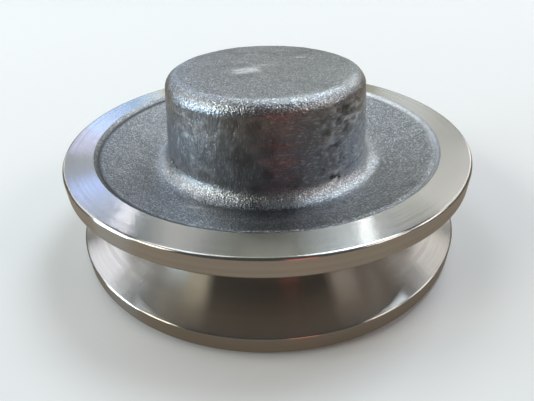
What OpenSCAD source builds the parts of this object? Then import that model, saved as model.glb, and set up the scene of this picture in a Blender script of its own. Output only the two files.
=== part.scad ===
// Single-groove V-belt pulley with a closed hub, turning on two sealed ball bearings
// and a fixed spindle. The axis of rotation is Z, and z = 0 is the spindle's seat face,
// which bolts to a bracket. "Front" is the closed end of the hub, upwards.

/* [Rim] */
// Outside diameter of the rim
rim_d = 101.6; // [98:0.1:120]
// Width of the rim across both flanges
rim_w = 25; // [24:0.5:27]
// Width of the belt groove where it opens at the outside diameter
groove_w = 16.3; // [15.5:0.1:17]
// Included angle of the belt groove
groove_angle = 34; // [34:1:38]
// Depth of the belt groove below the outside diameter
groove_depth = 14.5; // [13:0.1:15]
// Radius in the two corners at the bottom of the belt groove
groove_root_r = 0.8; // [0.4:0.1:1.5]
// Radius that breaks the four corners of the two flanges
flange_edge_r = 0.6; // [0.3:0.1:1]

/* [Web] */
// Inside diameter of the machined ring on each side of the rim
face_ring_d = 87.7; // [84:0.1:92]
// Drop from the machined ring to the edge of the forged web
web_step = 0.9; // [0.5:0.1:1.5]
// Slope of the web, falling from the rim to the hub
web_angle = 19; // [12:1:22]
// Fillet between the hub and the web
hub_fillet_r = 3.5; // [2.5:0.1:4]

/* [Hub] */
// Diameter of the hub at its closed end, before the edge is rounded
hub_top_d = 48.6; // [47:0.1:50]
// Height of the closed end above the front of the rim
hub_rise = 16.8; // [16:0.1:18]
// Draft angle of the forged sides
forging_draft = 5.4; // [5:0.1:7]
// Radius of the edge of the closed end
hub_edge_r = 3.6; // [2:0.1:4]

/* [Bearings] */
// Outside diameter of each bearing
bearing_d = 40; // [38:0.5:40]
// Bore of each bearing
bearing_bore = 17; // [15:0.5:17]
// Width of each bearing
bearing_w = 12; // [12:0.5:13]
// Diameter of the balls
ball_d = 6.747; // [6.35:0.001:6.9]
// Gap between the two bearings
spacer_w = 4.5; // [3:0.1:5]

/* [Spindle] */
// How far the spindle's seat face stands out behind the rim
seat_proud = 1.5; // [1:0.1:3]
// Diameter of the spindle's seat
seat_d = 23; // [20:0.1:23]
// Drilled diameter of the tapped hole
tap_drill_d = 8.5; // [6.8:0.1:8.5]
// Full depth of the tapped hole
tap_depth = 20; // [16:0.5:24]

/* [Hidden] */
$fn = 128;
BIG = 200;

// Heights of the faces, from the spindle's seat upwards
rear_z = seat_proud;
front_z = rear_z + rim_w;
hub_top_z = front_z + hub_rise;

// Circlips: thickness, and width of the groove each one sits in
bore_clip_t = 1.75;
bore_clip_groove_w = 1.85;
bore_clip_z = rear_z + 2.7;
bore_clip_groove_r = bearing_d / 2 + 1.25;
shaft_clip_t = 1;
shaft_clip_groove_w = 1.1;
shaft_clip_groove_r = bearing_bore / 2 - 0.4;

// The bearing stack
rear_bearing_z = bore_clip_z + bore_clip_groove_w - 0.05;
front_bearing_z = rear_bearing_z + bearing_w + spacer_w;
stack_top_z = front_bearing_z + bearing_w;
spindle_end_z = stack_top_z + 2.5;
pocket_top_z = spindle_end_z + 1.2;
pocket_r = bearing_d / 2 - 4;
shoulder_r = bearing_d / 2 - 2.6;

// Rim and web
rim_r = rim_d / 2;
root_r = rim_r - groove_depth;
land_w = (rim_w - groove_w) / 2;
flank_drop = groove_depth * tan(groove_angle / 2);
ring_r = face_ring_d / 2;
web_edge_r = ring_r - 1.5;
hub_top_r = hub_top_d / 2;
hub_face_r = hub_top_r + hub_rise * tan(forging_draft);

// Where the drafted side of the hub meets the sloping web, as [radius, drop below the rim's
// face], for a side that has radius r level with the rim's face
function hub_foot(r) =
    let (d = tan(forging_draft), w = tan(web_angle))
    let (foot_r = (r + (web_step + web_edge_r * w) * d) / (1 + w * d))
    [foot_r, (foot_r - r) / d];

// Bearing rings, from the pitch circle of the balls outwards and inwards
ball_r = ball_d / 2;
ball_count = 8;
pitch_r = (bearing_d + bearing_bore) / 4;
ball_gap = 0.03;
race_r = 0.52 * ball_d;
outer_shoulder_r = pitch_r + 2.15;
inner_shoulder_r = pitch_r - 2.05;
seal_land_r = inner_shoulder_r - 0.6;
seal_groove_r = outer_shoulder_r + 1.5;
seal_lip_r = seal_groove_r - 0.4;
seal_t = 1.1;
seal_set_in = 0.35;
ring_edge = 0.6;

// Cage: two pressed ribbons with a pocket round each ball, riveted between the pockets
cage_t = 0.8;
cage_gap = 0.12;
cage_inner_r = pitch_r - 1.5;
cage_outer_r = pitch_r + 1.6;
rivet_r = 0.6;
rivet_head_r = 1;
rivet_head_t = 0.45;

BEARINGS = ["front", "rear"];
PIECES = ["outer_ring", "inner_ring", "seal_front", "seal_rear", "cage_front", "cage_rear", "cage_rivets"];

// ---- shared outlines ----

function unit(v) = v / norm(v);

// The space between a corner at p, whose sides run towards a and b, and an arc of
// radius r that touches both sides. Added it is a fillet, taken away it is a round.
// It reaches a little past p, so that it always overlaps what it joins or cuts.
module corner(p, a, b, r) {
    ua = unit(a - p);
    ub = unit(b - p);
    half = acos(ua * ub) / 2;
    run = r / tan(half);
    middle = unit(ua + ub);
    centre = p + middle * r / sin(half);
    difference() {
        polygon([p - middle * 0.4 * r, p + ua * run, centre, p + ub * run]);
        translate(centre) circle(r);
    }
}

// ---- pulley wheel: one forging, turned on the rim, the rear face and in the bore ----

// The air in front of the web, between the hub and the rim
module front_space(foot, hub_edge, web_edge) {
    difference() {
        polygon([
            foot, web_edge, [ring_r, front_z], [rim_r + 5, front_z], [rim_r + 5, hub_top_z + 5],
            [hub_top_r - 5 * tan(forging_draft), hub_top_z + 5]
        ]);
        corner(foot, hub_edge, web_edge, hub_fillet_r);
    }
}

// The air behind the web, between the machined rear of the hub and the rim
module rear_space(foot, boss_edge, web_edge) {
    difference() {
        polygon([
            foot, [hub_face_r - 5 * tan(forging_draft), rear_z - 5], [ring_r, rear_z - 5],
            [ring_r, rear_z], web_edge
        ]);
        corner(foot, boss_edge, web_edge, hub_fillet_r);
    }
}

module groove_space() {
    mouth_front = [rim_r + 5, front_z - land_w + 5 * tan(groove_angle / 2)];
    mouth_rear = [rim_r + 5, rear_z + land_w - 5 * tan(groove_angle / 2)];
    root_front = [root_r, front_z - land_w - flank_drop];
    root_rear = [root_r, rear_z + land_w + flank_drop];
    difference() {
        polygon([mouth_front, root_front, root_rear, mouth_rear]);
        corner(root_front, mouth_front, root_rear, groove_root_r);
        corner(root_rear, mouth_rear, root_front, groove_root_r);
    }
}

module wheel_outline() {
    foot = hub_foot(hub_face_r);
    front_foot = [foot[0], front_z - foot[1]];
    rear_foot = [foot[0], rear_z + foot[1]];
    hub_edge = [hub_top_r, hub_top_z];
    mouth_front = [rim_r, front_z - land_w];
    mouth_rear = [rim_r, rear_z + land_w];
    difference() {
        polygon([[0, rear_z], [rim_r, rear_z], [rim_r, hub_top_z], [0, hub_top_z]]);
        front_space(front_foot, hub_edge, [web_edge_r, front_z - web_step]);
        rear_space(rear_foot, [hub_face_r, rear_z], [web_edge_r, rear_z + web_step]);
        groove_space();
        corner(hub_edge, [0, hub_top_z], front_foot, hub_edge_r);
        corner([rim_r, front_z], [ring_r, front_z], mouth_front, flange_edge_r);
        corner(mouth_front, [rim_r, front_z], [root_r, front_z - land_w - flank_drop], flange_edge_r);
        corner(mouth_rear, [rim_r, rear_z], [root_r, rear_z + land_w + flank_drop], flange_edge_r);
        corner([rim_r, rear_z], [ring_r, rear_z], mouth_rear, flange_edge_r);
    }
}

module bore_outline() {
    bore_r = bearing_d / 2;
    polygon([
        [0, -1], [bore_r + 0.8 + rear_z + 1, -1], [bore_r + 0.8, rear_z], [bore_r, rear_z + 0.8],
        [bore_r, bore_clip_z], [bore_clip_groove_r, bore_clip_z],
        [bore_clip_groove_r, bore_clip_z + bore_clip_groove_w], [bore_r, bore_clip_z + bore_clip_groove_w],
        [bore_r, stack_top_z], [shoulder_r, stack_top_z], [shoulder_r, stack_top_z + 0.6],
        [pocket_r, stack_top_z + 1.6], [pocket_r, pocket_top_z - 1], [pocket_r - 1, pocket_top_z],
        [0, pocket_top_z]
    ]);
}

module pulley_wheel() {
    color("slategray")
        rotate_extrude()
            difference() {
                wheel_outline();
                bore_outline();
            }
}

// ---- spindle, spacer and circlips ----

module spindle() {
    journal_r = bearing_bore / 2;
    seat_r = seat_d / 2;
    tap_r = tap_drill_d / 2;
    tap_tip_z = tap_depth + tap_r / tan(59);
    color("silver")
        rotate_extrude()
            polygon([
                [0, tap_tip_z], [tap_r, tap_depth], [tap_r, 1], [tap_r + 1, 0],
                [seat_r - 0.5, 0], [seat_r, 0.5], [seat_r, rear_bearing_z],
                [journal_r, rear_bearing_z], [journal_r, stack_top_z],
                [shaft_clip_groove_r, stack_top_z], [shaft_clip_groove_r, stack_top_z + shaft_clip_groove_w],
                [journal_r, stack_top_z + shaft_clip_groove_w], [journal_r, spindle_end_z - 0.8],
                [journal_r - 0.8, spindle_end_z], [0, spindle_end_z]
            ]);
}

module inner_spacer() {
    color("silver")
        translate([0, 0, rear_bearing_z + bearing_w])
            difference() {
                cylinder(r = inner_shoulder_r - 0.9, h = spacer_w);
                translate([0, 0, -1]) cylinder(r = bearing_bore / 2 + 0.05, h = spacer_w + 2);
            }
}

// Ring clip in the plane, open towards +Y. The band's other edge is a circle set off
// towards the gap, so that the band is widest opposite it. Lugs with plier holes close the ends.
module clip_outline(groove_r, wide, narrow, inward, lug_r, hole_r, lug_angle) {
    sign = inward ? -1 : 1;
    other_r = groove_r + sign * (wide + narrow) / 2;
    offset_y = -sign * (wide - narrow) / 2;
    lug_at = groove_r + sign * (lug_r + 0.25);
    difference() {
        union() {
            difference() {
                if (inward) circle(groove_r);
                else translate([0, offset_y]) circle(other_r);
                if (inward) translate([0, offset_y]) circle(other_r);
                else circle(groove_r);
                polygon([
                    [0, 0], BIG * [-sin(lug_angle), cos(lug_angle)],
                    BIG * [sin(lug_angle), cos(lug_angle)]
                ]);
            }
            for (side = [-1, 1])
                rotate(side * lug_angle) translate([0, lug_at]) circle(lug_r);
        }
        for (side = [-1, 1])
            rotate(side * lug_angle) translate([0, lug_at]) circle(hole_r);
    }
}

module bore_circlip() {
    color("dimgray")
        translate([0, 0, bore_clip_z])
            linear_extrude(bore_clip_t)
                clip_outline(bore_clip_groove_r, 3.9, 2.8, true, 2.8, 1.25, 16);
}

module shaft_circlip() {
    color("dimgray")
        translate([0, 0, stack_top_z])
            linear_extrude(shaft_clip_t)
                clip_outline(shaft_clip_groove_r, 2.4, 1.7, false, 1.6, 0.8, 20);
}

// ---- ball bearing, centred on its own middle plane ----

// Where each bearing stands, and how far its balls are turned
function bearing_z(which) = (which == "front" ? front_bearing_z : rear_bearing_z) + bearing_w / 2;
function ball_phase(which) = which == "front" ? 0 : 16;

module in_bearing(which) {
    translate([0, 0, bearing_z(which)])
        rotate(ball_phase(which))
            children();
}

module outer_ring() {
    half = bearing_w / 2;
    out = bearing_d / 2;
    step_z = half - seal_set_in - seal_t - 0.1;
    lip_z = half - seal_set_in + 0.05;
    side = [
        [outer_shoulder_r, 0], [outer_shoulder_r, step_z], [seal_groove_r, step_z],
        [seal_groove_r, lip_z], [seal_lip_r, lip_z], [seal_lip_r, half],
        [out - ring_edge, half], [out, half - ring_edge]
    ];
    color("lightsteelblue")
        rotate_extrude()
            difference() {
                polygon(concat(side, [for (i = [len(side) - 1:-1:1]) [side[i][0], -side[i][1]]]));
                translate([pitch_r + ball_r + ball_gap - race_r, 0]) circle(race_r);
            }
}

module inner_ring() {
    half = bearing_w / 2;
    bore_r = bearing_bore / 2;
    step_z = half - seal_set_in - seal_t - 0.1;
    side = [
        [inner_shoulder_r, 0], [inner_shoulder_r, step_z], [seal_land_r, step_z + 0.3],
        [seal_land_r, half], [bore_r + ring_edge, half], [bore_r, half - ring_edge]
    ];
    color("lightsteelblue")
        rotate_extrude()
            difference() {
                polygon(concat(side, [for (i = [len(side) - 1:-1:1]) [side[i][0], -side[i][1]]]));
                translate([pitch_r - ball_r - ball_gap + race_r, 0]) circle(race_r);
            }
}

// Rubber moulded on a steel washer: a bead that snaps into the outer ring, a thin
// middle, and a lip that runs on the inner ring
module seal() {
    low = bearing_w / 2 - seal_set_in - seal_t;
    high = low + seal_t;
    color([0.12, 0.12, 0.13])
        rotate_extrude()
            polygon([
                [seal_groove_r, low + 0.05], [seal_groove_r, high],
                [seal_lip_r - 0.9, high], [seal_lip_r - 1.1, high - 0.2],
                [inner_shoulder_r + 0.7, high - 0.2], [inner_shoulder_r + 0.4, high],
                [seal_land_r + 0.25, high], [seal_land_r + 0.05, high - 0.35],
                [seal_land_r + 0.45, low + 0.35], [inner_shoulder_r + 0.5, low + 0.15],
                [seal_lip_r - 1.1, low + 0.15], [seal_lip_r - 0.9, low + 0.05]
            ]);
}

// The front half of the cage: a flat ribbon with half a spherical pocket over each ball
module cage_half() {
    pocket = ball_r + cage_gap;
    color("darkgray")
        difference() {
            intersection() {
                union() {
                    cylinder(r = cage_outer_r + 1, h = cage_t);
                    for (n = [0:ball_count - 1])
                        rotate(n * 360 / ball_count)
                            translate([pitch_r, 0, 0]) sphere(pocket + cage_t);
                }
                difference() {
                    cylinder(r = cage_outer_r, h = bearing_w);
                    translate([0, 0, -1]) cylinder(r = cage_inner_r, h = bearing_w + 2);
                }
            }
            for (n = [0:ball_count - 1])
                rotate(n * 360 / ball_count) translate([pitch_r, 0, 0]) sphere(pocket);
            for (n = [0:ball_count - 1])
                rotate((n + 0.5) * 360 / ball_count)
                    translate([pitch_r, 0, -1]) cylinder(r = rivet_r, h = 4);
        }
}

module cage_rivets() {
    color("gainsboro")
        for (n = [0:ball_count - 1])
            rotate((n + 0.5) * 360 / ball_count)
                translate([pitch_r, 0, 0])
                    rotate_extrude()
                        polygon([
                            [0, cage_t + rivet_head_t], [rivet_head_r - 0.3, cage_t + rivet_head_t],
                            [rivet_head_r, cage_t + 0.15], [rivet_head_r, cage_t],
                            [rivet_r, cage_t], [rivet_r, -cage_t],
                            [rivet_head_r, -cage_t], [rivet_head_r, -cage_t - 0.15],
                            [rivet_head_r - 0.3, -cage_t - rivet_head_t], [0, -cage_t - rivet_head_t]
                        ]);
}

module ball(n) {
    color("white")
        rotate((n - 1) * 360 / ball_count)
            translate([pitch_r, 0, 0])
                sphere(ball_r);
}

module upside_down() {
    mirror([0, 0, 1]) children();
}

// ---- the assembly ----

pulley_wheel();
spindle();
inner_spacer();
shaft_circlip();
bore_circlip();
for (b = BEARINGS) {
    in_bearing(b) outer_ring();
    in_bearing(b) inner_ring();
    in_bearing(b) seal();
    in_bearing(b) upside_down() seal();
    in_bearing(b) cage_half();
    in_bearing(b) upside_down() cage_half();
    in_bearing(b) cage_rivets();
    for (n = [1:ball_count])
        in_bearing(b) ball(n);
}
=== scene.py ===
import math

import bmesh
import bpy
import numpy as np
from mathutils import Matrix, Vector


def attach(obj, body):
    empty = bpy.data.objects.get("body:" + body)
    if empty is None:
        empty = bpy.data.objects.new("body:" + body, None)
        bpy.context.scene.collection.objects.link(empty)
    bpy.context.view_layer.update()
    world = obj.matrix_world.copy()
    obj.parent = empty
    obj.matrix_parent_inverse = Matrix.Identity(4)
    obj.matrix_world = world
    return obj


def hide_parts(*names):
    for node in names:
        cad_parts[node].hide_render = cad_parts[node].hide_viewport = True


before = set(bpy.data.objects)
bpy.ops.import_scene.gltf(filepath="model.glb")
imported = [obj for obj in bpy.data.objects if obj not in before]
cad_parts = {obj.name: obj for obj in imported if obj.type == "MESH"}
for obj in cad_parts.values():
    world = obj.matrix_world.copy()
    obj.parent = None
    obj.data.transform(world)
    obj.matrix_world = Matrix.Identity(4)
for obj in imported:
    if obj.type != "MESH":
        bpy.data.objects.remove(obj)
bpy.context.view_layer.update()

mm = 0.001               # sizes below are in millimetres and angles in degrees, unless a note says otherwise

latticeFactors = (374761393, 668265263, 1442695041)     # large odd numbers that scatter x, y and z
latticeStirs = ((13, 1274126177), (16, 2246822519))
seedFactor = 974634777
wordMask = 0xFFFFFFFF


def latticeValue(cells, seed):
    # one repeatable value from -1 to 1 for each whole-number cell
    h = seed * seedFactor
    for axis, factor in enumerate(latticeFactors):
        h = h + cells[:, axis].astype(np.int64) * factor
    h = h & wordMask
    for shift, factor in latticeStirs:
        h = ((h ^ (h >> shift)) * factor) & wordMask
    return (h ^ (h >> 15)).astype(np.float64) / 2147483648.0 - 1.0


def softNoise(points, size, seed):
    # smooth lumps about one size across, from -1 to 1; size may differ along each axis
    p = points / np.asarray(size, dtype=float)
    low = np.floor(p)
    t = p - low
    t = t * t * (3 - 2 * t)
    total = np.zeros(len(p))
    for corner in range(8):
        step = np.array([corner & 1, corner >> 1 & 1, corner >> 2 & 1])
        weight = np.prod(np.where(step == 1, t, 1 - t), axis=1)
        total += weight * latticeValue(low + step, seed)
    return total


def lumps(points, size, seed, octaves=3):
    # soft noise with finer and fainter noise on top
    total, gain = np.zeros(len(points)), 1.0
    for n in range(octaves):
        total += gain * softNoise(points, np.asarray(size, dtype=float) / 2 ** n, seed + 17 * n)
        gain *= 0.5
    return total


def ramp(value, low, high):
    t = np.clip((value - low) / (high - low), 0, 1)
    return t * t * (3 - 2 * t)


def between(value, start, full, fade, end):
    # rises to 1 from start to full, and falls to 0 from fade to end
    return ramp(value, start, full) * (1 - ramp(value, fade, end))


def within(value, low, high):
    return (value > low) * (value < high)


def bell(value, middle, width):
    return np.exp(-((value - middle) / width) ** 2)


sweepRules = {
    "edgeRow": 0.12,          # a row this close to each rounding keeps the flat flat
    "roundingSteps": 4,       # the fewest in one rounding
    "samePoint": 1e-4,
    "fewestSegments": 15,
    "crowding": 0.45,         # a ring gets half as many points if they are closer than this part of its spacing
    "widestRow": 0.6,
}


def roundedOutline(corners, spacing):
    # corners are (radius, height, rounding, zone); the zone names the surface that follows
    places = [np.array(corner[:2], dtype=float) for corner in corners]
    last = len(corners) - 1
    legs = []                 # where each rounding starts and ends, its centre and its turn
    for i, place in enumerate(places):
        rounding = corners[i][2]
        if not rounding or i in (0, last):
            legs.append((place, place, None, 0))
            continue
        back = (places[i - 1] - place) / np.linalg.norm(places[i - 1] - place)
        on = (places[i + 1] - place) / np.linalg.norm(places[i + 1] - place)
        half = math.acos(np.clip(back @ on, -1, 1)) / 2
        run = rounding / math.tan(half)
        middle = (back + on) / np.linalg.norm(back + on)
        centre = place + middle * rounding / math.sin(half)
        legs.append((place + back * run, place + on * run, centre, math.pi - 2 * half))
    points, zones = [], []
    for i, (enter, leave, centre, turn) in enumerate(legs):
        zone = corners[i][3]
        before = corners[i - 1][3] if i else zone
        if centre is None:
            points.append(enter)
            zones.append(zone)
        else:
            steps = max(sweepRules["roundingSteps"], math.ceil(corners[i][2] * turn / spacing[before]))
            start, end = enter - centre, leave - centre
            for k in range(steps + 1):
                t = k / steps
                spoke = (math.sin((1 - t) * turn) * start + math.sin(t * turn) * end) / math.sin(turn)
                points.append(centre + spoke)
                zones.append(zone if t >= 0.5 else before)
        if i < last:
            target = legs[i + 1][0]
            length = np.linalg.norm(target - leave)
            edge = min(sweepRules["edgeRow"], length / 5)
            steps = max(1, math.ceil((length - 2 * edge) / spacing[zone]))
            for k in range(steps + 1):
                t = edge / length + (1 - 2 * edge / length) * k / steps
                points.append(leave + (target - leave) * t)
                zones.append(zone)
    gaps = [np.linalg.norm(points[i] - points[i - 1]) for i in range(1, len(points))]
    keep = [0] + [i + 1 for i, gap in enumerate(gaps) if gap > sweepRules["samePoint"]]
    return np.array([points[i] for i in keep]), [zones[i] for i in keep]


def ringCounts(outline, zones, spacing, segments):
    # how many points each ring has: one on the axis, and fewer near it, so that no face is a sliver
    counts = []
    for (radius, _), zone in zip(outline, zones):
        n = segments[zone]
        closest = sweepRules["crowding"] * min(spacing[zone], sweepRules["widestRow"])
        while radius > 0 and n > sweepRules["fewestSegments"] and 2 * math.pi * radius / n < closest:
            n //= 2
        counts.append(1 if radius < 1e-6 else n)
    return counts


def bridge(a, b, countA, countB):
    # faces between two rings, whose points start at numbers a and b; one count divides the other
    if countA < countB:
        return [face[::-1] for face in bridge(b, a, countB, countA)]
    if countA == countB:
        return [(a + k, a + (k + 1) % countA, b + (k + 1) % countA, b + k) for k in range(countA)]
    if countB == 1:
        return [(a + k, a + (k + 1) % countA, b) for k in range(countA)]
    faces = []
    share = countA // countB
    halfway = (share + 1) // 2
    for k in range(countB):
        here, after = b + k, b + (k + 1) % countB
        for m in range(share):
            ahead = a + (k * share + m + 1) % countA
            faces.append((a + k * share + m, ahead, here if m < halfway else after))
            if m == halfway - 1:
                faces.append((ahead, after, here))
    return faces


def addObject(name, mesh):
    piece = bpy.data.objects.new(name, mesh)
    bpy.context.scene.collection.objects.link(piece)
    return piece


def sweep(name, corners, spacing, segments, slots, materials, shape=None, closed=False):
    # turns an outline about the axis into a closed mesh; shape pushes its points along their normals
    outline, zones = roundedOutline(corners, spacing)
    ahead, behind = np.roll(outline, -1, axis=0), np.roll(outline, 1, axis=0)
    if not closed:
        ahead[-1], behind[0] = outline[-1], outline[0]
    run = ahead - behind
    run /= np.linalg.norm(run, axis=1)[:, None]
    counts = ringCounts(outline, zones, spacing, segments)
    starts = np.cumsum([0] + counts[:-1]).tolist()
    ringOf = np.repeat(np.arange(len(counts)), counts)
    angles = np.concatenate([np.arange(n) * 2 * math.pi / n for n in counts])
    radii, heights = outline[ringOf].T
    outR, outZ = -run[ringOf, 1], run[ringOf, 0]
    points = np.stack([radii * np.cos(angles), radii * np.sin(angles), heights], axis=1)
    normals = np.stack([outR * np.cos(angles), outR * np.sin(angles), outZ], axis=1)
    if shape:
        points = points + normals * shape(points, radii, angles, heights, np.array(zones)[ringOf])[:, None]
    faces, faceSlots = [], []
    rings = len(counts)
    for i in range(rings if closed else rings - 1):
        j = (i + 1) % rings
        strip = bridge(starts[i], starts[j], counts[i], counts[j])
        faces += [face[::-1] for face in strip]      # so that they face out of the metal
        faceSlots += [slots[zones[i]]] * len(strip)
    mesh = bpy.data.meshes.new(name)
    mesh.from_pydata((points * mm).tolist(), [], faces)
    for material in materials:
        mesh.materials.append(material)
    mesh.polygons.foreach_set("material_index", faceSlots)
    mesh.polygons.foreach_set("use_smooth", [True] * len(faces))
    mesh.update()
    print(name, len(points), "points", sum(len(face) - 2 for face in faces), "triangles")
    return addObject(name, mesh)


def newGroup(name, inputs, outputs):
    group = bpy.data.node_groups.new(name, "ShaderNodeTree")
    for label, value in inputs.items():
        socket = group.interface.new_socket(label, in_out="INPUT", socket_type="NodeSocketFloat")
        socket.default_value = value
    for label in outputs:
        group.interface.new_socket(label, in_out="OUTPUT", socket_type="NodeSocketFloat")
    return group, group.nodes.new("NodeGroupInput").outputs, group.nodes.new("NodeGroupOutput")


def feed(tree, socket, value):
    # a number or colour is set on the socket, and another node's output is linked to it
    if isinstance(value, (int, float)):
        socket.default_value = value
    elif isinstance(value, tuple):
        socket.default_value = (*value, 1.0)
    else:
        tree.links.new(value, socket)


def fill(tree, node, **values):
    for key, value in values.items():
        feed(tree, node.inputs[key.replace("_", " ")], value)
    return node


def addNode(tree, kind, settings=None, **values):
    node = tree.nodes.new(kind)
    for key, value in (settings or {}).items():
        setattr(node, key, value)
    return fill(tree, node, **values)


def calc(tree, operation, *values):
    node = addNode(tree, "ShaderNodeMath", {"operation": operation})
    for socket, value in zip(node.inputs, values):
        feed(tree, socket, value)
    return node.outputs[0]


def rampNode(tree, value, low, high, outLow=0.0, outHigh=1.0):
    node = addNode(tree, "ShaderNodeMapRange", {"interpolation_type": "SMOOTHSTEP"}, Value=value,
                   From_Min=low, From_Max=high, To_Min=outLow, To_Max=outHigh)
    return node.outputs["Result"]


def placeOn(tree):
    return addNode(tree, "ShaderNodeTexCoord").outputs["Object"]


def blastGrainGroup():
    # shot-blasted steel: packed dimples with finer grit, a few bright facets and a few black pinholes
    group, given, out = newGroup("blastGrain", {"Dimple Size mm": 0.7, "Grit": 0.5},
                                 ("Height", "Sparkle", "Pinholes"))
    where = placeOn(group)
    scale = calc(group, "DIVIDE", 1000.0, given["Dimple Size mm"])
    cells = addNode(group, "ShaderNodeTexVoronoi", {"feature": "SMOOTH_F1"}, Vector=where, Scale=scale,
                    Smoothness=0.5, Randomness=1.0)
    grit = addNode(group, "ShaderNodeTexNoise", None, Vector=where, Scale=calc(group, "MULTIPLY", scale, 1.4),
                   Detail=3.0, Roughness=0.7)
    gritPart = calc(group, "MULTIPLY", grit.outputs["Fac"], given["Grit"])
    facets = addNode(group, "ShaderNodeTexVoronoi", {"feature": "F1"}, Vector=where,
                     Scale=calc(group, "MULTIPLY", scale, 1.8), Randomness=1.0)
    facet = addNode(group, "ShaderNodeSeparateColor", None, Color=facets.outputs["Color"])
    fill(group, out, Height=calc(group, "ADD", cells.outputs["Distance"], gritPart),
         Sparkle=rampNode(group, facet.outputs[0], 0.55, 1.0),
         Pinholes=rampNode(group, facet.outputs[1], 0.90, 0.97))
    return group


def turnedLinesGroup():
    # the spiral a lathe tool leaves: fine even lines, some deeper than others, and a slight ripple
    group, given, out = newGroup("turnedLines", {"Pitch mm": 0.18, "Unevenness": 0.5},
                                 ("Height", "Bands", "Ripple"))
    where = placeOn(group)
    x, y, z = addNode(group, "ShaderNodeSeparateXYZ", None, Vector=where).outputs
    squares = calc(group, "ADD", calc(group, "MULTIPLY", x, x), calc(group, "MULTIPLY", y, y))
    radius = calc(group, "MULTIPLY", calc(group, "SQRT", squares), 1000.0)
    height = calc(group, "MULTIPLY", z, 1000.0)
    # the lines follow the radius on a face and the height on a cylinder
    along = calc(group, "ADD", radius, calc(group, "MULTIPLY", height, 0.83))
    phase = calc(group, "DIVIDE", along, given["Pitch mm"])
    fine = calc(group, "SINE", calc(group, "MULTIPLY", phase, 2 * math.pi))
    wide = addNode(group, "ShaderNodeTexNoise", {"noise_dimensions": "1D"}, Scale=1.0, Detail=4.0,
                   Roughness=0.65, W=calc(group, "MULTIPLY", along, 1.4)).outputs["Fac"]
    uneven = calc(group, "MULTIPLY", calc(group, "MULTIPLY", wide, 4.0), given["Unevenness"])
    ripple = addNode(group, "ShaderNodeTexNoise", None, Vector=where, Scale=550.0, Detail=2.0, Roughness=0.5)
    fill(group, out, Height=calc(group, "ADD", fine, uneven), Bands=rampNode(group, wide, 0.35, 0.65),
         Ripple=ripple.outputs["Fac"])
    return group


def handledGroup():
    # the dull patches that oil and handling leave
    group, given, out = newGroup("handled", {"Patch Size mm": 14.0, "Spread": 0.5}, ("Dull",))
    scale = calc(group, "DIVIDE", 1000.0, given["Patch Size mm"])
    patch = addNode(group, "ShaderNodeTexNoise", None, Vector=placeOn(group), Scale=scale, Detail=5.0,
                    Roughness=0.62, Distortion=0.6)
    low = calc(group, "SUBTRACT", 0.72, calc(group, "MULTIPLY", given["Spread"], 0.4))
    fill(group, out, Dull=rampNode(group, patch.outputs["Fac"], low, calc(group, "ADD", low, 0.22)))
    return group


def dragMarksGroup():
    # scratches from the forging die: upright where Lying is 0, along the side where it is 1
    group, given, out = newGroup("dragMarks", {"Width mm": 0.4, "Length mm": 7.0, "Lying": 0.0},
                                 ("Height", "Streaks"))
    where = placeOn(group)
    wide = calc(group, "DIVIDE", 1000.0, given["Width mm"])
    long = calc(group, "DIVIDE", 1000.0, given["Length mm"])
    fields = []
    for across, up in ((wide, long), (long, wide)):
        stretch = addNode(group, "ShaderNodeCombineXYZ", None, X=across, Y=across, Z=up)
        place = addNode(group, "ShaderNodeVectorMath", {"operation": "MULTIPLY"})
        feed(group, place.inputs[0], where)
        feed(group, place.inputs[1], stretch.outputs[0])
        noise = addNode(group, "ShaderNodeTexNoise", None, Vector=place.outputs[0], Scale=1.0, Detail=3.0,
                        Roughness=0.65, Distortion=0.25)
        fields.append(noise.outputs["Fac"])
    mix = addNode(group, "ShaderNodeMix", {"data_type": "FLOAT"})
    for key, value in ((0, given["Lying"]), (2, fields[0]), (3, fields[1])):
        feed(group, mix.inputs[key], value)
    fill(group, out, Height=mix.outputs[0], Streaks=rampNode(group, mix.outputs[0], 0.5, 0.72))
    return group


blastGrain = blastGrainGroup()
dragMarks = dragMarksGroup()
turnedLines = turnedLinesGroup()
handled = handledGroup()


def placeGroup(tree, group, **values):
    node = tree.nodes.new("ShaderNodeGroup")
    node.node_tree = group
    return fill(tree, node, **values).outputs


def newMaterial(name, **values):
    material = bpy.data.materials.new(name)
    material.use_nodes = True
    tree = material.node_tree
    return material, tree, fill(tree, tree.nodes["Principled BSDF"], **values)


def mixColours(tree, factor, a, b):
    node = addNode(tree, "ShaderNodeMix", {"data_type": "RGBA"})
    for key, value in ((0, factor), (6, a), (7, b)):
        feed(tree, node.inputs[key], value)
    return node.outputs[2]


def bump(tree, shader, height, strength, distanceMm):
    node = addNode(tree, "ShaderNodeBump", None, Height=height, Strength=strength, Distance=distanceMm * mm)
    fill(tree, shader, Normal=node.outputs["Normal"])


forgedLook = {
    "darkMetal": (0.285, 0.300, 0.322),
    "brightMetal": (0.80, 0.83, 0.88),
    # bright metal for rubbed places, and for the painted highlight on the recess wall
    "wearAndHighlightMetal": (0.97, 0.98, 0.99),
    "scale": (0.065, 0.066, 0.068),   # thin black scale left in the hollows, and also the colour of the painted shade
    "roughness": (0.28, 0.34),        # as forged, and rubbed
    "dimpleMm": 0.45, "grit": 0.9, "bumpMm": 0.115, "pinholes": 0.55,
    "patchMm": 9.0, "spread": 0.55, "dirt": 0.35, "dulled": 0.08,
    "dragWidthMm": 0.4, "dragLengthMm": 1.25, "dragBumpMm": 0.15, "dragStreaks": 0.75, "dragStills": 0.85,
}


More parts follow.
